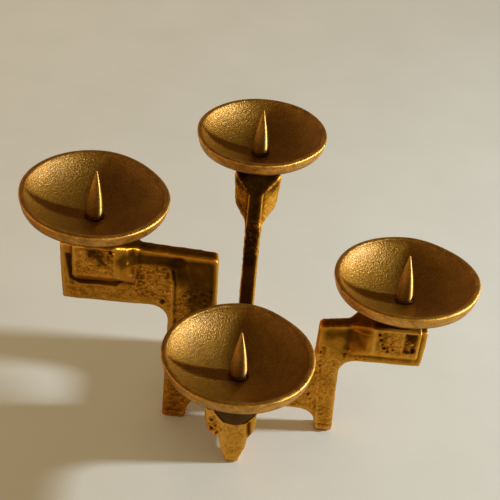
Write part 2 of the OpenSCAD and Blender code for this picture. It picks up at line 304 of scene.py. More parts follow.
def inner_r(arm):
    """Radius of the sphere that the inside of a bowl is part of."""
    return ((RIM_R[arm] - BOWL_WALL) ** 2 + BOWL_DEPTH ** 2) / (2 * BOWL_DEPTH)


def shell_z(arm, r):
    """Height of the bowl's inner sphere at a radius."""
    return STAND[arm] - BOWL_DEPTH + inner_r(arm) - math.sqrt(inner_r(arm) ** 2 - r ** 2)


def stand_up(piece, arm):
    """Moves a piece that is modelled about the Z axis, from the foot of its hub, to its arm."""
    pad, axis = spike_line(arm)
    lean = Matrix.Rotation(math.atan2(-axis.y, axis.z), 4, "X") @ Matrix.Rotation(
        math.atan2(axis.x, math.hypot(axis.y, axis.z)), 4, "Y")
    piece.matrix_world = Matrix.Translation(pad - axis * shell_z(arm, PAD_R)) @ lean
    finish_mesh(piece)


# Sculpting: forms that are pressed into a face or raised from it, all in millimetres on that face

def ramp(value, low, high):
    """Rises smoothly from 0 at low to 1 at high."""
    share = np.clip((value - low) / (high - low), 0, 1)
    return share * share * (3 - 2 * share)


def read_mesh(piece):
    """Places and outward directions of all vertices, places in millimetres from the crossing."""
    count = len(piece.data.vertices)
    places, normals = np.empty(3 * count), np.empty(3 * count)
    piece.data.vertices.foreach_get("co", places)
    piece.data.vertex_normals.foreach_get("vector", normals)
    places = (places.reshape(-1, 3) - np.array(crossing)) / MM
    return places, normals.reshape(-1, 3)


def write_mesh(piece, places):
    """The other way round: puts these places into the mesh."""
    piece.data.vertices.foreach_set("co", (places * MM + np.array(crossing)).ravel())
    piece.data.update()


def edge_links(piece):
    """The two vertices at the ends of each edge."""
    links = np.empty(2 * len(piece.data.edges), dtype=np.int64)
    piece.data.edges.foreach_get("vertices", links)
    return links.reshape(-1, 2)


class Face:
    """One side of a casting: how far each of its vertices is raised along an axis, and its patina and
    painted shade.

    Places on it are (along, up) in millimetres, and a box is (left, low, right, high). What looks
    along the axis and lies beyond a distance on it belongs to the side. A shift moves all forms.
    """

    def __init__(self, places, normals, paint, axis, sign, beyond=3.0, shift=(0.0, 0.0)):
        along = 1 if axis == 0 else 0
        self.places, self.paint = places, paint
        self.axis, self.sign = axis, sign
        self.u = places[:, along] - shift[0]
        self.v = places[:, 2] - shift[1]
        self.on = ramp(sign * normals[:, axis], 0.25, 0.7) * (sign * places[:, axis] > beyond)
        self.out = np.zeros(len(places))

    def within(self, box, soft):
        """1 inside a box, fading to 0 over a soft border inside it."""
        left, low, right, high = box
        outside = np.maximum(np.maximum(left - self.u, self.u - right),
                             np.maximum(low - self.v, self.v - high))
        return 1 - ramp(outside, -soft, 0)

    def away(self, points):
        """Distance from a line through these points."""
        best = np.full(len(self.u), np.inf)
        for (a, b), (c, d) in zip(points, points[1:]):
            share = ((self.u - a) * (c - a) + (self.v - b) * (d - b)) / ((c - a) ** 2 + (d - b) ** 2)
            share = np.clip(share, 0, 1)
            best = np.minimum(best, np.hypot(self.u - a - share * (c - a),
                                             self.v - b - share * (d - b)))
        return best

    def panel(self, box, height, soft=1.0):
        """A raised field, or a sunk one where the height is below zero."""
        self.out += height * self.within(box, soft)

    def line(self, points, width, height):
        """A raised line, or a groove where the height is below zero."""
        self.out += height * (1 - ramp(self.away(points), 0, width))

    def pit(self, centre, size, depth, rim=0.25):
        """A round hollow with a little burr about it, or a knob where the depth is below zero."""
        far = np.hypot(self.u - centre[0], self.v - centre[1]) / size
        self.out += depth * (rim * np.exp(-((far - 1.15) / 0.3) ** 2) - (1 - ramp(far, 0.2, 1)))

    def pits(self, box, count, sizes, depth, seed):
        """Hollows strewn over a box."""
        left, low, right, high = box
        some = np.random.default_rng(seed)
        for _ in range(count):
            self.pit((some.uniform(left, right), some.uniform(low, high)), some.uniform(*sizes),
                     depth * some.uniform(0.5, 1))

    def rough(self, box, size, height, seed, soft=3.0):
        """Lumps of one size inside a box, with crumbs of half that size on them."""
        share = self.on * self.within(box, soft)
        near = share > 0
        some = self.places[near]
        self.out[near] += height * share[near] * (lumps(some, size, seed)
                                                  + 0.6 * lumps(some, size / 2, seed))
        self.paint["grit"] = np.maximum(self.paint["grit"], share)

    def shade(self, points, width, amount):
        """Darkens along a line, for smooth dark patina and painted shade alike, or brightens where the
        amount is below zero, for bright metal and painted highlights alike.
        """
        share = self.on * (1 - ramp(self.away(points), 0.4 * width, width))
        self.paint["dark"] += amount * share
        if amount > 0:
            self.paint["grit"] *= 1 - 0.8 * share

    def press(self):
        """Moves the vertices by what the forms add up to."""
        self.places[:, self.axis] += self.sign * PRESS * self.on * self.out


def lumps(places, size, seed=0.0):
    """Smooth noise between about -1 and 1 at each place."""
    offset = Vector((seed, 2 * seed, -seed))
    return np.array([noise.noise(Vector(place) / size + offset) for place in places])


def blurred(values, links, rounds):
    """Averages each vertex's values with those of its neighbours, again and again."""
    count = len(values)
    ends = np.concatenate([links, links[:, ::-1]])
    share = np.bincount(ends[:, 0], minlength=count).reshape(-1, 1)
    for _ in range(rounds):
        near = np.stack([np.bincount(ends[:, 0], values[ends[:, 1], k], count)
                         for k in range(values.shape[1])], axis=1)
        values = 0.4 * values + 0.6 * near / share
    return values


def store(piece, name, values):
    """Keeps one number for each vertex, for the materials to read."""
    field = piece.data.attributes.new(name, "FLOAT", "POINT")
    field.data.foreach_set("value", values)


def store_rub_and_shade(piece, dark, rounds=40, reach=0.8):
    """Marks what stands proud near 1, and hollows, dark patina, painted shade and what looks up nearer 0.
    """
    places, normals = read_mesh(piece)
    links = edge_links(piece)
    proud = ((places - blurred(places, links, rounds)) * normals).sum(axis=1)
    proud = blurred(proud.reshape(-1, 1), links, 1)[:, 0]
    # What looks up is painted darker, partly as patina and partly as painted shade for the dark room that
    # top faces reflect
    dark = dark + 0.5 * ramp(normals[:, 2], 0.3, 0.85)
    store(piece, "rub_and_shade", np.clip(0.5 + 0.5 * proud / reach - dark, 0, 1))


# Castings: the plates with the relief, pits and soft edges that sand casting leaves

def seat_guard(places, arms, tight=0.25, free=1.3):
    """0 on a seat and its hole, where a bowl and a stud must fit, and 1 away from them."""
    guard = np.ones(len(places))
    for arm in arms:
        pad, axis = spike_line(arm)
        foot = (pad - axis * shell_z(arm, PAD_R) - crossing) / MM
        apart = places - np.array(foot)
        height = apart @ np.array(axis)
        r = np.sqrt((apart ** 2).sum(axis=1) - height ** 2)
        seat = (HUB_R[arm] + SEAT_GAP - HUB_TAPER * np.clip(-height * MM / SEAT_DEPTH, 0, 1)) / MM
        depth = SEAT_DEPTH / MM
        at_wall = (height < WALL_EDGE) & (height > -depth - WALL_EDGE)
        wall = np.where(at_wall, np.abs(r - seat), np.inf)
        floor = np.where(r < seat + FLOOR_EDGE, np.abs(height + depth), np.inf)
        hole = np.where((r < STUD_ROOM_R) & (height < 0) & (height > -STUD_ROOM_L), 0, np.inf)
        guard = np.minimum(guard, ramp(np.minimum(np.minimum(wall, floor), hole), tight, free))
    return guard


def casting(name, node, arms, relief):
    """A copy of a plate's solid, remade in small even faces, and then sculpted."""
    source = frame["nodes"][node]
    pick(source)
    bpy.ops.object.duplicate()
    piece = bpy.context.object
    piece.name = name
    # The copy must not pass for the solid, so it keeps none of its tags
    for tag in [key for key in piece.keys() if key.startswith("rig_")]:
        del piece[tag]
    bpy.ops.object.parent_clear(type="CLEAR_KEEP_TRANSFORM")
    finish_mesh(piece)
    bpy.ops.object.mode_set(mode="EDIT")
    bpy.ops.mesh.select_all(action="SELECT")
    bpy.ops.mesh.remove_doubles(threshold=WELD)
    bpy.ops.object.mode_set(mode="OBJECT")
    apply_modifier(piece, "REMESH", mode="VOXEL", voxel_size=VOXEL)
    places, normals = read_mesh(piece)
    guard = seat_guard(places, arms).reshape(-1, 1)
    places += guard * (blurred(places, edge_links(piece), SOFTEN_ROUNDS) - places)
    before = places.copy()
    # Dark holds patina and painted shade, and is below zero where bright metal or a painted highlight is
    # painted
    paint = {"dark": np.zeros(len(places)), "grit": np.full(len(places), PLAIN_GRIT)}
    relief(places, normals, paint)
    sand = sum(high * lumps(places, size, seed) for size, high, seed in SAND_LUMPS)
    places += normals * sand.reshape(-1, 1)
    places = before + guard * (places - before)
    places[:, 2] = np.maximum(places[:, 2], 0)
    write_mesh(piece, places)
    store_rub_and_shade(piece, paint["dark"])
    store(piece, "grit", paint["grit"])
    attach(piece, "stand")
    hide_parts(node)
    return piece


# Relief of the left and right arms. Each side is made from the same forms

def left_block(face, seed):
    """The block under the left bowl: beads round it, a sunk panel, a loop in its corner, and pits."""
    block = (-103, 113, -76, 138)
    sunk = (-93.5, 128, -83.5, 134.6)
    in_loop = (-81.8, 130.4, -78.2, 135.8)
    pitted = (-98, 117, -80, 128)
    left_bead = [(-101.3, 136.5), (-100.6, 115)]
    top_bead = [(-99, 135.6), (-79, 136.4)]
    top_groove = [(-98, 134.3), (-80, 135)]
    right_bead = [(-78, 137), (-78, 116)]
    low_bead = [(-99, 115.5), (-80, 115.5)]
    loop = [(-82, 136), (-79.2, 136.4), (-77.6, 132), (-79.5, 129.5), (-82.3, 131)]
    slant = [(-89.3, 129.4), (-85, 126), (-78.8, 120.4)]
    face.rough(block, size=4.5, height=0.5, seed=seed)
    face.line(left_bead, width=1.3, height=0.7)
    face.line(top_bead, width=0.9, height=0.6)
    face.line(top_groove, width=0.8, height=-0.5)
    face.line(right_bead, width=1.0, height=0.45)
    face.line(low_bead, width=1.2, height=0.5)
    face.panel(sunk, height=-0.7, soft=1.4)
    face.line(loop, width=0.8, height=0.5)
    face.pits(in_loop, count=9, sizes=(0.7, 1.2), depth=1.1, seed=seed + 3)
    face.line(slant, width=1.2, height=-0.6)
    face.pits(pitted, count=24, sizes=(0.6, 1.1), depth=0.6, seed=seed + 4)
    face.pit((-91, 122.6), size=1.4, depth=1.0)
    face.pit((-82.9, 121.4), size=1.2, depth=1.0)


def left_end(face, seed):
    """The strip round the left block: a broad groove, two fine beads and a rough lower band."""
    groove = [(-106.3, 122), (-104.2, 106.5), (-98.7, 104), (-88, 104.6), (-78.3, 104), (-76.5, 106.5)]
    outer_bead = [(-110.2, 129), (-109.3, 93)]
    inner_bead = [(-106, 130), (-106.8, 100)]
    band = (-110, 90, -70, 103)
    face.line(groove, width=3.0, height=-0.6)
    face.line(outer_bead, width=1.2, height=0.5)
    face.line(inner_bead, width=0.9, height=0.25)
    face.rough(band, size=3.2, height=0.45, seed=seed + 5)


def left_plate(face, seed):
    """The plate of the left arm: a notch beside the block, a long panel, and crumbs under it."""
    notch_bead = [(-71.2, 134), (-70.6, 129)]
    notch = [(-68.4, 131), (-68, 116)]
    long_panel = (-68, 120, -38, 127.5)
    crumbs = (-69, 96, -43, 122)
    low_crumbs = (-72, 92, -43, 108)
    pitted = (-67, 99, -46, 120)
    face.line(notch_bead, width=1.0, height=0.5)
    face.line(notch, width=3.2, height=-1.2)
    face.pit((-70.6, 123.5), size=1.2, depth=-0.9)
    face.panel(long_panel, height=-0.5, soft=1.6)
    face.rough(crumbs, size=2.1, height=0.75, seed=seed + 6)
    face.rough(low_crumbs, size=3.6, height=0.6, seed=seed + 7)
    face.pits(pitted, count=70, sizes=(0.5, 0.95), depth=0.6, seed=seed + 8)


def left_leg(face, seed):
    """The left leg: a bead and a groove down its outer edge, a smooth field, and a pitted shin."""
    edge_bead = [(-46, 118), (-44.3, 108), (-43.6, 70)]
    edge_groove = [(-44, 117), (-42.6, 108), (-41.7, 70)]
    field = (-42.5, 58, -19, 126)
    inner_groove = [(-24, 124.5), (-21.2, 122), (-20.6, 96)]
    swelling = [(-36, 122), (-33, 112), (-30, 104)]
    corner_bead = [(-48.8, 96.2), (-46.9, 94.4)]
    knee = (-42, 92, -19, 106)
    knee_pits = (-41, 94, -22, 105)
    shin = (-48, 0, -18, 96)
    shin_pits = (-47, 4, -22, 90)
    foot_groove = [(-46, 5.5), (-34, 5.5)]
    face.line(edge_bead, width=1.1, height=0.6)
    face.line(edge_groove, width=1.2, height=-0.9)
    face.panel(field, height=-0.35, soft=1.8)
    face.line(inner_groove, width=0.7, height=-0.3)
    face.line(swelling, width=1.5, height=0.25)
    face.pit((-49.6, 93.7), size=2.2, depth=1.3)
    face.line(corner_bead, width=0.9, height=0.8)
    face.rough(knee, size=2.4, height=0.6, seed=seed + 9)
    face.pits(knee_pits, count=16, sizes=(0.6, 1.0), depth=0.6, seed=seed + 10)
    face.rough(shin, size=3.2, height=0.4, seed=seed + 11)
    face.pits(shin_pits, count=40, sizes=(0.5, 1.0), depth=0.5, seed=seed + 12)
    face.line(foot_groove, width=0.9, height=-0.5)


def left_patina_and_shade(face):
    """Smooth dark fields on the left arm, painted shade under its top edge and in the groove under its
    block, and the bright places between them.
    """
    top_of_leg = [(-36, 118), (-24, 118), (-24, 62)]
    top_edge = [(-72, 126), (-42, 124)]
    sunk = [(-92, 133), (-86, 125)]
    groove = [(-106.3, 122), (-104.2, 106.5), (-98.7, 104), (-88, 104.6), (-78.3, 104), (-74, 110)]
    end_strip = [(-109, 130), (-108, 92)]
    block = [(-96, 130), (-84, 120)]
    band = [(-104, 96), (-70, 93)]
    bend = [(-62, 112), (-50, 104), (-48, 60)]
    face.shade(top_of_leg, width=15, amount=0.32)
    # Painted shade in the band under the plate's top edge
    face.shade(top_edge, width=7, amount=0.3)
    face.shade(sunk, width=4.5, amount=0.35)
    # Painted shade along the groove under the block's lower edge, where the block stands proud
    face.shade(groove, width=2.2, amount=0.5)
    face.shade(end_strip, width=4, amount=-0.04)
    face.shade(block, width=9, amount=-0.2)
    face.shade(band, width=9, amount=-0.1)
    face.shade(bend, width=10, amount=-0.1)


def right_block(face, seed):
    """The block under the right bowl: beads round it, deep pits, and a sunk window at its end."""
    block = (77, 74, 106, 97)
    left_bead = [(78.3, 95), (78.9, 76)]
    top_bead = [(79, 95.4), (104, 95.4)]
    right_bead = [(105, 96), (104.2, 76)]
    low_bead = [(78, 75.6), (104.5, 75.6)]
    deep_pits = [(81.2, 92.2, 1.1), (82.4, 88, 1.4), (83.6, 84.6, 0.9), (84.8, 81.6, 1.3),
                 (87.3, 78.6, 1.6), (90.4, 80.4, 0.9), (88.6, 85.2, 0.9), (91.5, 89, 0.8)]
    pitted = (82, 78, 96, 93)
    divider = [(95.4, 94), (95.8, 78.5)]
    window = (96.2, 78.2, 104.2, 94.4)
    window_corner = (97.6, 87.2, 101.6, 93)
    face.rough(block, size=3.2, height=0.5, seed=seed)
    face.line(left_bead, width=1.2, height=0.6)
    face.line(top_bead, width=0.9, height=0.5)
    face.line(right_bead, width=1.5, height=0.9)
    face.line(low_bead, width=1.2, height=0.8)
    for along, up, size in deep_pits:
        face.pit((along, up), size, depth=1.3, rim=0.4)
    face.pits(pitted, count=26, sizes=(0.5, 0.9), depth=0.6, seed=seed + 3)
    face.line(divider, width=0.9, height=0.6)
    face.panel(window, height=-1.2)
    face.panel(window_corner, height=-0.9, soft=0.9)
    face.pit((102.4, 80.6), size=1.7, depth=1.2)
    face.pit((98, 84.8), size=1.0, depth=1.0)
    face.pit((101.4, 85.8), size=1.7, depth=-1.3)
    face.pit((99.4, 81.2), size=1.1, depth=-1.0)
    face.pit((103.2, 84), size=1.0, depth=-0.9)


def right_arm(face, seed):
    """The level part of the right arm: a smooth field, a crumbly armpit, and two looped beads."""
    top_bead = [(67, 88), (72, 88.8), (76.6, 91)]
    field = (49, 64, 70, 87)
    armpit = (60, 61, 78, 73)
    armpit_pits = (61, 62, 70, 68)
    high_loop = [(46.8, 66), (47.2, 70.4), (49.8, 72), (52.4, 70), (53, 64)]
    high_groove = [(50, 70), (50.3, 62)]
    low_loop = [(53.2, 59.5), (56, 61.6), (59.6, 60.6), (61.6, 57)]
    low_groove = [(56.5, 59.5), (57.6, 55.5)]
    face.line(top_bead, width=1.1, height=0.7)
    face.panel(field, height=-0.25, soft=2.5)
    face.rough(armpit, size=2.6, height=0.5, seed=seed + 4)
    face.pits(armpit_pits, count=10, sizes=(0.6, 1.0), depth=0.7, seed=seed + 5)
    face.line(high_loop, width=0.9, height=0.6)
    face.line(high_groove, width=0.8, height=-0.5)
    face.line(low_loop, width=0.9, height=0.6)
    face.line(low_groove, width=0.9, height=-0.5)


def right_leg(face, seed):
    """The right leg: a beaded inner edge with a row of pits, a rough shin and a grooved foot."""
    edge_bead = [(47.4, 70), (49.4, 40), (50.4, 8)]
    edge_pits = [(66.3, 1.1), (62.6, 0.8), (59.2, 1.0), (55.4, 0.8), (51.6, 0.6), (43, 0.4), (31, 0.6)]
    edge_top, edge_slope = (48.4, 66), 0.04
    groove = [(49.6, 52), (49.9, 44), (50.1, 30)]
    low_groove = [(48.4, 36), (49.8, 8)]
    shin = (44, 0, 64, 62)
    shin_pits = (50, 8, 61, 58)
    foot_groove = [(50, 5.6), (61, 5.6)]
    foot_bead = [(50.5, 2.6), (61, 3)]
    face.line(edge_bead, width=1.2, height=0.5)
    for up, depth in edge_pits:
        along = edge_top[0] + edge_slope * (edge_top[1] - up)
        face.pit((along, up), size=1.2, depth=depth, rim=0.5)
    face.line(groove, width=0.7, height=-0.5)
    face.line(low_groove, width=0.7, height=-0.4)
    face.rough(shin, size=2.4, height=0.5, seed=seed + 6)
    face.pits(shin_pits, count=46, sizes=(0.5, 0.9), depth=0.5, seed=seed + 7)
    face.line(foot_groove, width=0.8, height=-0.5)
    face.line(foot_bead, width=1.6, height=0.4)


def low_web(face, seed):
    """The web between the left and right legs."""
    web = (5, 17, 47, 46)
    pitted = (20, 19, 46, 44)
    face.rough(web, size=3.0, height=0.5, seed=seed + 8)
    face.pits(pitted, count=24, sizes=(0.6, 1.2), depth=0.6, seed=seed + 9)
    face.pit((44.2, 30.6), size=1.5, depth=1.0)
    face.pit((45.6, 27), size=1.2, depth=0.9)


def right_patina(face):
    """A smooth dark field on the right arm, and bright metal on its block, leg and web."""
    arm = [(50, 87), (74, 86)]
    window = [(98, 90), (101, 90)]
    block = [(82, 84), (95, 84)]
    deep_pits = [(84, 92), (86, 80)]
    beads = [(78.6, 94), (78.8, 76), (104, 75.6), (104.8, 94)]
    leg = [(54, 60), (56, 4)]
    web = [(10, 30), (44, 30)]
    face.shade(arm, width=13, amount=0.25)
    face.shade(window, width=5, amount=0.22)
    face.shade(block, width=12, amount=-0.15)
    face.shade(deep_pits, width=2.5, amount=0.3)
    face.shade(beads, width=2.5, amount=-0.2)
    face.shade(leg, width=13, amount=-0.08)
    face.shade(web, width=16, amount=-0.12)


def left_and_right(face, seed):
    """All forms of one side of the left and right plate."""
    left_block(face, seed)
    left_end(face, seed)
    left_plate(face, seed)
    left_leg(face, seed)
    left_patina_and_shade(face)
    right_block(face, seed + 20)
    right_arm(face, seed + 20)
    right_leg(face, seed + 20)
    low_web(face, seed + 20)
    right_patina(face)
    face.press()


def left_right_relief(places, normals, paint):
    """The rear side has the same forms as the front, a little moved and with lumps of its own."""
    left_and_right(Face(places, normals, paint, axis=1, sign=-1), seed=11)
    left_and_right(Face(places, normals, paint, axis=1, sign=1, shift=(1.5, -1)), seed=51)


# Relief of the front and rear arms

def front_end(face, seed):
    """The end of the front arm: a pitted left shoulder, a tongue and a grooved right shoulder."""
    left_shoulder = (-16, 57, -6, 80)
    shoulder_pits = [(-12.6, 74, 1.4), (-9.8, 70, 1.1), (-12.4, 67.6, 1.3), (-9.4, 64.4, 1.2),
                     (-6.8, 67.4, 1.0), (-11.6, 62.6, 1.0), (-13.6, 71, 0.9)]
    tongue = (-8, 46, 8, 74)
    tongue_pits = (-5, 49, 6, 70)
    tongue_left = [(-7, 72), (-6.2, 60), (-4.6, 48)]
    tongue_right = [(6.2, 72), (6.6, 60), (5.2, 49)]
    tongue_foot = [(-4.6, 47.6), (4.6, 47.6)]
    groove = [(8.2, 74), (8.6, 68), (9.2, 63)]
    notch_bead = [(-15, 77), (-11.4, 78.4), (-6.4, 73.6), (-2.4, 70.8), (1.8, 70.6), (5.4, 72.4),
                  (8.6, 77.4)]
    knobs = (-2.6, -0.4, 1.8, 3.6, 5.2)
    right_shoulder = (9, 62, 15, 80)
    down_the_tongue = [(0, 68), (0, 8)]
    face.rough(left_shoulder, size=2.6, height=1.0, seed=seed)
    for along, up, size in shoulder_pits:
        face.pit((along, up), size, depth=1.2, rim=0.5)
    face.rough(tongue, size=1.9, height=0.4, seed=seed + 1)
    face.pits(tongue_pits, count=26, sizes=(0.5, 0.9), depth=0.4, seed=seed + 2)
    face.line(tongue_left, width=1.0, height=0.5)
    face.line(tongue_right, width=1.0, height=0.6)
    face.line(tongue_foot, width=1.2, height=0.6)
    face.line(groove, width=1.6, height=-0.9)
    face.line(notch_bead, width=1.1, height=0.6)
    for along in knobs:
        face.pit((along, 70.7 + 0.5 * abs(along - 1)), size=0.9, depth=-0.6, rim=0)
    face.rough(right_shoulder, size=2.6, height=0.5, seed=seed + 3)
    # A painted highlight down the tongue, for the lit table that it faces and reflects
    face.shade(down_the_tongue, width=14, amount=-0.36)
    face.shade(groove, width=2.0, amount=0.35)
    face.press()


def front_side(face, seed):
    """One side of the front arm: its block, its level part and its leg."""
    block = (-82, 64, -54, 82)
    end_bead = [(-79, 80), (-78.6, 67)]
    inner_bead = [(-56, 80), (-56, 68)]
    sunk = (-75, 70, -60, 79)
    block_pits = (-77, 68, -58, 79)
    arm = (-78, 46, -40, 64)
    arm_pits = (-76, 48, -42, 63)
    leg = (-42, 0, -20, 72)
    leg_pits = (-38, 4, -24, 68)
    leg_bead = [(-25, 66), (-25.6, 8)]
    foot_groove = [(-38, 5.6), (-29, 5.6)]
    face.rough(block, size=3.4, height=0.6, seed=seed)
    face.line(end_bead, width=1.3, height=0.6)
    face.line(inner_bead, width=1.1, height=0.5)
    face.panel(sunk, height=-0.7, soft=1.4)
    face.pits(block_pits, count=22, sizes=(0.6, 1.3), depth=0.8, seed=seed + 1)
    face.rough(arm, size=2.6, height=0.6, seed=seed + 2)
    face.pits(arm_pits, count=26, sizes=(0.5, 1.0), depth=0.6, seed=seed + 3)
    face.rough(leg, size=2.8, height=0.5, seed=seed + 4)
    face.pits(leg_pits, count=46, sizes=(0.5, 1.1), depth=0.6, seed=seed + 5)
    face.line(leg_bead, width=1.1, height=0.5)
    face.line(foot_groove, width=0.9, height=-0.5)


def rear_side(face, seed):
    """One side of the rear arm: its block, its level part, its tall leg, and the web before it."""
    block = (84, 110, 112, 132)
    sunk = (89, 116, 107, 128)
    inner_bead = [(86, 131), (86.4, 112)]
    end_bead = [(110, 131), (110, 112)]
    block_pits = (88, 113, 109, 129)
    strip_bead = [(114.5, 124), (115.2, 92)]
    arm = (66, 88, 116, 110)
    arm_pits = (68, 90, 114, 108)
    leg = (40, 0, 74, 122)
    leg_pits = (45, 4, 68, 118)
    leg_bead = [(47, 118), (47.6, 60), (53, 8)]
    foot_groove = [(58, 5.6), (70, 5.6)]
    web = (-20, 17, 42, 46)
    face.rough(block, size=3.6, height=0.3, seed=seed + 6)
    face.panel(sunk, height=-0.6, soft=1.5)
    face.line(inner_bead, width=1.2, height=0.6)
    face.line(end_bead, width=1.2, height=0.6)
    face.pits(block_pits, count=8, sizes=(0.6, 1.3), depth=0.6, seed=seed + 7)
    face.line(strip_bead, width=1.2, height=0.5)
    face.rough(arm, size=3.0, height=0.6, seed=seed + 8)
    face.pits(arm_pits, count=40, sizes=(0.5, 1.1), depth=0.6, seed=seed + 9)
    face.rough(leg, size=3.2, height=0.5, seed=seed + 10)
    face.pits(leg_pits, count=60, sizes=(0.5, 1.1), depth=0.6, seed=seed + 11)
    face.line(leg_bead, width=1.1, height=0.5)
    face.line(foot_groove, width=0.9, height=-0.5)
    face.rough(web, size=3.0, height=0.5, seed=seed + 12)


def rear_front(face, seed):
    """The front of the rear arm: a strip up its leg darkened as painted shade, painted shade above it and
    under the bowl, painted shade on the left flank and a painted highlight on the right flank.
    """
    flank_bead = [(-12.8, 124), (-8.5, 114.5), (-6.2, 112)]
    strip = [(0, 10), (0, 114)]
    above_strip = [(0, 119), (0, 130)]
    under_bowl = [(-10, 129), (10, 129)]
    left_flank = [(-10, 112), (-12, 104)]
    right_flank = [(12, 116), (8, 104)]
    block = (-15, 96, 15, 132)
    face.line(flank_bead, width=1.0, height=0.7)
    # Painted shade on the strip, above it and under the bowl, and on the left flank, which faces away from
    # the lamp; a painted highlight on the right flank, which faces the lamp
    face.shade(strip, width=7.5, amount=0.7)
    face.shade(above_strip, width=7.5, amount=0.6)
    face.shade(under_bowl, width=6, amount=0.5)
    face.shade(left_flank, width=5, amount=0.2)
    face.shade(right_flank, width=8, amount=-0.38)
    face.rough(block, size=3.4, height=0.4, seed=seed)
    face.press()


def front_rear_relief(places, normals, paint):
    """Both sides of the plate, the end of the front arm, and the front of the rear arm."""
    for sign, seed in ((-1, 70), (1, 90)):
        side = Face(places, normals, paint, axis=0, sign=sign)
        front_side(side, seed)
        rear_side(side, seed)
        side.press()
    front_end(Face(places, normals, paint, axis=1, sign=-1, beyond=70), seed=110)
    rear = Face(places, normals, paint, axis=1, sign=-1, beyond=-95)
    rear.on *= places[:, 1] > 40
    rear_front(rear, seed=120)


# Bowls and spikes

def sphere_r(r, height):
    """Radius of the sphere whose cap has this radius and height."""
    return (r ** 2 + height ** 2) / (2 * height)


def under_r(arm):
    """Radius of the sphere that the underside of a bowl is part of."""
    return sphere_r(RIM_R[arm] - RIM_DRAFT, BOWL_DEPTH + BOWL_WALL - RIM_H)


def inside_z(arm, r):
    """Height inside a bowl: a flat bottom and sides that grow steep near the lip."""
    share = r / (RIM_R[arm] - CROWN_W)
    rise = (1 - math.sqrt(1 - STEEP_SHARE * share ** 2)) / (1 - math.sqrt(1 - STEEP_SHARE))
    return STAND[arm] - BOWL_DEPTH + rise * (BOWL_DEPTH - CROWN_H)


def bowl(arm):
    """A spun bowl: hub, underside, upright outer face, crowned lip and inside."""
    rim, top = RIM_R[arm], STAND[arm]
    floor = top - BOWL_DEPTH
    corner = rim - RIM_DRAFT - RIM_ROUND
    under = [math.degrees(math.asin(r / under_r(arm))) - 90 for r in (HUB_R[arm] - NECK_DRAFT, corner)]
    inside = [(r, inside_z(arm, r)) for r in np.linspace(rim - CROWN_W, PAD_R, INSIDE_STEPS)]
    crown = [(rim - CROWN_W / 2 + CROWN_W / 2 * math.cos(a), top - CROWN_H + CROWN_H * math.sin(a))
             for a in np.radians(np.linspace(CROWN_FROM, CROWN_TO, CROWN_STEPS))]
    outline = (
        [(HOLE_R, -SEAT_DEPTH), (HUB_R[arm] - HUB_TAPER, -SEAT_DEPTH), (HUB_R[arm], 0)]
        + arc((0, floor - BOWL_WALL + under_r(arm)), under_r(arm), under[0], under[1], UNDER_STEPS)
        + arc((corner, top - RIM_H + 1.3 * RIM_ROUND), RIM_ROUND, -50, 0, ROUND_STEPS)
        + [(rim - RIM_DRAFT / 2, top - RIM_H / 2), (rim, top - 1.4 * CROWN_H)]
        + crown
        + inside
        + [(PAD_R, shell_z(arm, PAD_R)), (HOLE_R, shell_z(arm, PAD_R)), (HOLE_R, -SEAT_DEPTH)])
    piece = turned("bowl_shell_" + arm, outline, BOWL_STEPS)
    sway_rub_and_shade(piece, arm)
    stand_up(piece, arm)
    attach(piece, arm + "_bowl")
    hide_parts("bowl_" + arm)
    return piece


def sway_rub_and_shade(piece, arm):
    """Pulls a bowl a little out of round, and marks how far each part of it is rubbed bright or painted
    with shade.
    """
    rim, top = RIM_R[arm], STAND[arm]
    floor = top - BOWL_DEPTH
    count = len(piece.data.vertices)
    places = np.empty(3 * count)
    piece.data.vertices.foreach_get("co", places)
    places = places.reshape(-1, 3)
    r, z = np.hypot(places[:, 0], places[:, 1]), places[:, 2]
    slack, fine_slack = 0.1 * MM, 0.02 * MM
    inside = (r < rim - CROWN_W) & (z > floor - slack) & (r > HOLE_R + slack)
    below = np.abs(np.hypot(r, z - floor + BOWL_WALL - under_r(arm)) - under_r(arm)) < fine_slack
    face = (r > rim - RIM_DRAFT - RIM_ROUND) & (z < top - CROWN_H) & (z > top - RIM_H)
    crown = z > top - CROWN_H - fine_slack
    # Painted shade on the hub and the underside, under the bowl; the lip's face and outer edge painted
    # bright, partly as rubbed metal and partly as a painted highlight
    rub_and_shade = np.full(count, BOWL_RUB_AND_SHADE["hub"])
    rub_and_shade[below] = BOWL_RUB_AND_SHADE["below"]
    rub_and_shade[inside] = BOWL_RUB_AND_SHADE["inside"]
    rub_and_shade[crown] = BOWL_RUB_AND_SHADE["crown"]
    rub_and_shade[face | (crown & (r > rim - BRIGHT_EDGE))] = BOWL_RUB_AND_SHADE["face"]
    patches = lumps(places / MM / (1, 1, PATCH_HEIGHT), PATCH_SIZE)
    rub_and_shade += np.where(face | crown, LIP_PATCHES, BOWL_PATCHES) * patches
    store(piece, "rub_and_shade", rub_and_shade)
    store(piece, "grit", np.where(inside | face | crown, BOWL_GRIT, HUB_GRIT))
    turn = np.degrees(np.arctan2(places[:, 1], places[:, 0])) % 360
    sway = wavy(turn, RIM_SWAY[arm]) * MM * ramp(r, 0.3 * rim, rim)
    wave = WAVE_H * ramp(r, 0.4 * rim, rim) * lumps(places / MM, WAVE_SIZE, len(arm))
    places[:, :2] *= (1 + sway / np.maximum(r, MM)).reshape(-1, 1)
    places[:, 2] += wave
    piece.data.vertices.foreach_set("co", places.ravel())
    piece.data.update()


def wavy(turn, knots):
    """A smooth closed curve through values that stand at even angles."""
    step = 360 / len(knots)
    here = np.floor(turn / step).astype(int) % len(knots)
    share = ramp(turn / step - np.floor(turn / step), 0, 1)
    knots = np.array(knots)
    return knots[here] * (1 - share) + knots[(here + 1) % len(knots)] * share


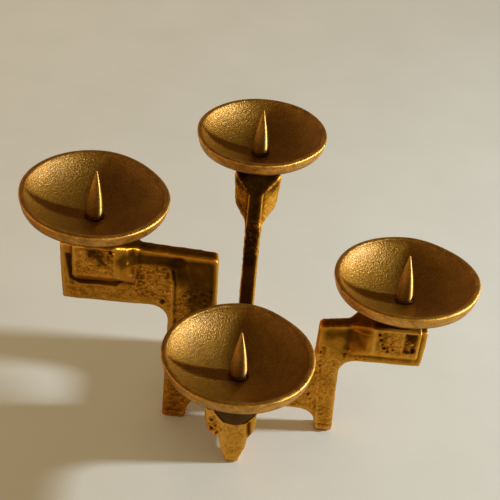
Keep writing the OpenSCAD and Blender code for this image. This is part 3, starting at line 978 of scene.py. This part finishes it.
def spike(arm):
    """A turned spike with a belly and a blunt tip, in one with its stud."""
    base = shell_z(arm, PAD_R) + WASHER_T
    stud_end = -SEAT_DEPTH - THREAD_L
    side = [(TIP_R + (SPIKE_R - TIP_R) * math.cos(math.radians(90 * s)), base + SPIKE_H * s)
            for s in np.linspace(BELLY_FROM, 1, SPIKE_STEPS)]
    outline = ([(0, stud_end), (STUD_R, stud_end), (STUD_R, base), (SPIKE_FOOT_R, base),
                (SPIKE_R - SPIKE_FLARE, base + SPIKE_FOOT_H)] + side + [(0, base + SPIKE_H)])
    piece = turned("spike_body_" + arm, outline, SMALL_STEPS)
    stand_up(piece, arm)
    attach(piece, arm + "_spike")
    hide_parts("spike_" + arm)
    return piece


def washer(arm):
    """A turned collar with a rounded edge, on which the spike's foot sits."""
    base = shell_z(arm, PAD_R) + WASHER_GAP
    top = shell_z(arm, PAD_R) + WASHER_T
    edge = arc((WASHER_R - WASHER_EDGE, top - WASHER_EDGE), WASHER_EDGE, 0, 90, EDGE_STEPS)
    outline = [(HOLE_R, base), (WASHER_R, base)] + edge + [(HOLE_R, top), (HOLE_R, base)]
    piece = turned("collar_" + arm, outline, SMALL_STEPS)
    stand_up(piece, arm)
    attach(piece, arm + "_washer")
    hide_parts("washer_" + arm)
    return piece


# Materials

def add(tree, kind, **settings):
    """A new node with these settings."""
    node = tree.nodes.new(kind)
    for name, value in settings.items():
        setattr(node, name, value)
    return node


def noise_of(tree, where, size_mm, detail, roughness=0.55):
    """Noise whose lumps are about this size."""
    node = add(tree, "ShaderNodeTexNoise")
    node.inputs["Scale"].default_value = 1 / (size_mm * MM)
    node.inputs["Detail"].default_value = detail
    node.inputs["Roughness"].default_value = roughness
    tree.links.new(where, node.inputs["Vector"])
    return node.outputs["Fac"]


def maths(tree, operation, first, second):
    """Adds, subtracts or multiplies two values, each a number or a socket."""
    node = add(tree, "ShaderNodeMath", operation=operation)
    for socket, value in zip(node.inputs, (first, second)):
        if isinstance(value, (int, float)):
            socket.default_value = value
        else:
            tree.links.new(value, socket)
    return node.outputs[0]


def colours(tree, share, stops):
    """Blends through the colours of the stops as the share goes from 0 to 1."""
    node = add(tree, "ShaderNodeValToRGB")
    ends = node.color_ramp.elements
    for _ in range(len(stops) - 2):
        ends.new(0.5)
    for end, (place, colour) in zip(ends, stops):
        end.position = place
        end.color = (*colour, 1)
    tree.links.new(share, node.inputs["Fac"])
    return node.outputs["Color"]


def spread(tree, share, low, high, to_low, to_high):
    """Turns a range of values into another range."""
    node = add(tree, "ShaderNodeMapRange")
    for name, value in (("From Min", low), ("From Max", high), ("To Min", to_low), ("To Max", to_high)):
        node.inputs[name].default_value = value
    tree.links.new(share, node.inputs["Value"])
    return node.outputs["Result"]


def scaled(tree, vector, by):
    """A colour or direction times a value."""
    node = add(tree, "ShaderNodeVectorMath", operation="SCALE")
    tree.links.new(vector, node.inputs[0])
    tree.links.new(by, node.inputs["Scale"])
    return node.outputs["Vector"]


def split(tree, vector, part):
    """One of the three parts of a vector, X, Y or Z."""
    node = add(tree, "ShaderNodeSeparateXYZ")
    tree.links.new(vector, node.inputs["Vector"])
    return node.outputs[part]


def painted_on(tree, name):
    """A number that is kept on the mesh."""
    return add(tree, "ShaderNodeAttribute", attribute_name=name).outputs["Fac"]


def mottling(tree, where, grit):
    """Soft clouds with fine specks on them, which show only where the surface is gritty."""
    cloud = maths(tree, "MULTIPLY", noise_of(tree, where, CLOUD_SIZE, detail=3), CLOUD_SHARE)
    fine = maths(tree, "SUBTRACT", noise_of(tree, where, SPECK_SIZE, detail=4, roughness=0.65), 0.5)
    speck = maths(tree, "MULTIPLY", fine, SPECK_SHARE)
    if grit is not None:
        speck = maths(tree, "MULTIPLY", speck, grit)
    return maths(tree, "ADD", maths(tree, "ADD", cloud, CLOUD_BASE), speck)


def bronze(name, stops, rough, grain, grain_mm, bump_mm, painted=0, coat=0):
    """Metal whose colour runs from dark patina and painted shade to rubbed metal and painted highlights,
    by what is painted on it and by mottling.

    Painted is how much of the colour the paint decides. The coat is a thin gloss on gritty places.
    """
    material = bpy.data.materials.new(name)
    material.use_nodes = True
    tree = material.node_tree
    shader = tree.nodes["Principled BSDF"]
    where = add(tree, "ShaderNodeTexCoord").outputs["Object"]
    bump = add(tree, "ShaderNodeBump")
    bump.inputs["Strength"].default_value = grain
    bump.inputs["Distance"].default_value = bump_mm * MM
    tree.links.new(noise_of(tree, where, grain_mm, detail=3, roughness=0.6), bump.inputs["Height"])
    grit = painted_on(tree, "grit") if painted else None
    share = mottling(tree, where, grit)
    if painted:
        rub_and_shade = maths(tree, "MULTIPLY", painted_on(tree, "rub_and_shade"), painted)
        share = maths(tree, "ADD", rub_and_shade, maths(tree, "MULTIPLY", share, 1 - painted))
        tree.links.new(maths(tree, "MULTIPLY", grit, grain), bump.inputs["Strength"])
        tree.links.new(maths(tree, "MULTIPLY", grit, coat), shader.inputs["Coat Weight"])
    shader.inputs["Metallic"].default_value = 1.0
    shader.inputs["Specular Tint"].default_value = (*EDGE_TINT, 1)
    shader.inputs["Coat Roughness"].default_value = COAT_ROUGH
    tree.links.new(colours(tree, share, stops), shader.inputs["Base Color"])
    tree.links.new(spread(tree, share, *ROUGH_SPAN, *rough), shader.inputs["Roughness"])
    tree.links.new(bump.outputs["Normal"], shader.inputs["Normal"])
    tree.links.new(bump.outputs["Normal"], shader.inputs["Coat Normal"])
    return material


def brushed(material, stretch):
    """Draws highlights out along the spike, as the fine grooves of a lathe do."""
    tree = material.node_tree
    shader = tree.nodes["Principled BSDF"]
    upright = add(tree, "ShaderNodeCombineXYZ")
    upright.inputs["Z"].default_value = 1
    tree.links.new(upright.outputs["Vector"], shader.inputs["Tangent"])
    shader.inputs["Anisotropic"].default_value = stretch
    return material


def table_paper():
    """Pale paper with faint clouds, painted paler where the lamp is far, and a little brighter to the
    camera than to the object by a painted glow that is dimmed near the object as painted shade.
    """
    material = bpy.data.materials.new("pale table")
    material.use_nodes = True
    tree = material.node_tree
    shader = tree.nodes["Principled BSDF"]
    shader.inputs["Roughness"].default_value = PAPER_ROUGH
    shader.inputs["Specular IOR Level"].default_value = PAPER_GLOSS
    where = add(tree, "ShaderNodeTexCoord").outputs["Object"]
    cloud = noise_of(tree, where, TABLE_CLOUD, detail=3)
    paper = colours(tree, cloud, ((0.3, TABLE_SHADE), (0.7, TABLE_LIGHT)))
    # Painted light: the paper is paler where the lamp is far
    across = spread(tree, split(tree, where, "X"), TONE_LEFT, TONE_RIGHT, 0, 1)
    tone = colours(tree, across, [(at, (pale, pale, pale)) for at, pale in TONES])
    tree.links.new(scaled(tree, paper, tone), shader.inputs["Base Color"])
    # A painted glow that only the camera sees lifts the table's shadows, stronger far off, and is darkened
    # near the object as painted shade
    away = add(tree, "ShaderNodeVectorMath", operation="LENGTH")
    tree.links.new(where, away.inputs[0])
    far = spread(tree, away.outputs["Value"], GLOW_NEAR, GLOW_FAR, 0, 1)
    tree.links.new(colours(tree, far, ((0, TABLE_GLOW), (1, FAR_GLOW))), shader.inputs["Emission Color"])
    seen = add(tree, "ShaderNodeLightPath").outputs["Is Camera Ray"]
    open_sky = add(tree, "ShaderNodeAmbientOcclusion", samples=8)
    open_sky.inputs["Distance"].default_value = NEAR_FLOOR
    glow = maths(tree, "MULTIPLY", seen, open_sky.outputs["AO"])
    tree.links.new(glow, shader.inputs["Emission Strength"])
    return material


def wear_material(piece, material):
    """Gives a piece this material alone."""
    piece.data.materials.clear()
    piece.data.materials.append(material)


# Stage, light and camera

def table():
    """A wide sheet of paper under the object."""
    deselect_all()
    bpy.ops.mesh.primitive_plane_add(size=TABLE_SIZE, location=(0, 0, 0))
    floor = bpy.context.object
    floor.name = "table"
    wear_material(floor, table_paper())


def room():
    """Warm light from all round, strongest from the left and from low down, and a plain backdrop."""
    world = bpy.data.worlds.new("studio")
    bpy.context.scene.world = world
    world.use_nodes = True
    tree = world.node_tree
    light = tree.nodes["Background"]
    towards = add(tree, "ShaderNodeTexCoord").outputs["Generated"]
    sky = colours(tree, split(tree, towards, "Z"), SKY)
    side = spread(tree, split(tree, towards, "X"), -1, 1, SKY_LEFT, SKY_RIGHT)
    tree.links.new(scaled(tree, sky, side), light.inputs["Color"])
    backdrop = add(tree, "ShaderNodeBackground")
    backdrop.inputs["Color"].default_value = (*BACKDROP, 1)
    either = add(tree, "ShaderNodeMixShader")
    tree.links.new(add(tree, "ShaderNodeLightPath").outputs["Is Camera Ray"], either.inputs["Fac"])
    tree.links.new(light.outputs["Background"], either.inputs[1])
    tree.links.new(backdrop.outputs["Background"], either.inputs[2])
    tree.links.new(either.outputs["Shader"], tree.nodes["World Output"].inputs["Surface"])


def lamp(name, place, size, power, colour):
    """A round soft light that faces the object, placed from the crossing."""
    place = crossing + Vector(place)
    deselect_all()
    bpy.ops.object.light_add(type="AREA", location=place)
    light = bpy.context.object
    light.name = name
    light.rotation_euler = (crossing - place).to_track_quat("-Z", "Y").to_euler()
    light.data.shape = "DISK"
    light.data.size = size
    light.data.energy = power
    light.data.color = colour


def view():
    """The camera, where the photograph was taken from."""
    deselect_all()
    bpy.ops.object.camera_add()
    camera = bpy.context.object
    camera.matrix_world = (
        Matrix.Translation(crossing + CAMERA_FROM_CROSSING)
        @ Matrix.Rotation(CAMERA_HEADING, 4, "Z")
        @ Matrix.Rotation(math.pi / 2 - CAMERA_ELEVATION, 4, "X")
        @ Matrix.Rotation(CAMERA_ROLL, 4, "Z"))
    camera.data.lens = LENS
    camera.data.clip_end = VIEW_DEPTH
    bpy.context.scene.camera = camera
    bpy.context.scene.view_settings.view_transform = "Standard"


cast_bronze = bronze("cast bronze", CAST_COLOURS, rough=(0.56, 0.42), grain=1.0, grain_mm=0.8,
                     bump_mm=0.45, painted=0.5, coat=0.05)
bowl_bronze = bronze("bowl bronze", BOWL_COLOURS, rough=(0.58, 0.44), grain=1.0, grain_mm=1.0,
                     bump_mm=0.52, painted=0.72, coat=0.6)
spike_bronze = brushed(bronze("spike bronze", SPIKE_COLOURS, rough=(0.5, 0.44), grain=0.12,
                              grain_mm=1.5, bump_mm=0.06), SPIKE_STRETCH)
dark_bronze = bronze("dark bronze", COLLAR_COLOURS, rough=(0.5, 0.4), grain=0.3, grain_mm=0.9,
                     bump_mm=0.15)
screw_brass = bronze("screw brass", SCREW_COLOURS, rough=(0.4, 0.28), grain=0.2, grain_mm=0.8,
                     bump_mm=0.1)

pieces = [
    (casting("left_right_casting", "left_right_plate", ("left", "right"), left_right_relief), cast_bronze),
    (casting("front_rear_casting", "front_rear_plate", ("front", "rear"), front_rear_relief), cast_bronze)]
for arm in ARMS:
    pieces += [(bowl(arm), bowl_bronze), (spike(arm), spike_bronze), (washer(arm), dark_bronze)]
for piece, material in pieces:
    pick(piece)
    bpy.ops.object.shade_smooth_by_angle(angle=SMOOTH_ANGLE)
    wear_material(piece, material)
wear_material(frame["nodes"]["crossing_screw"], screw_brass)

table()
room()
lamp("key", LAMP_PLACE, LAMP_SIZE, LAMP_POWER, LAMP_COLOUR)
view()
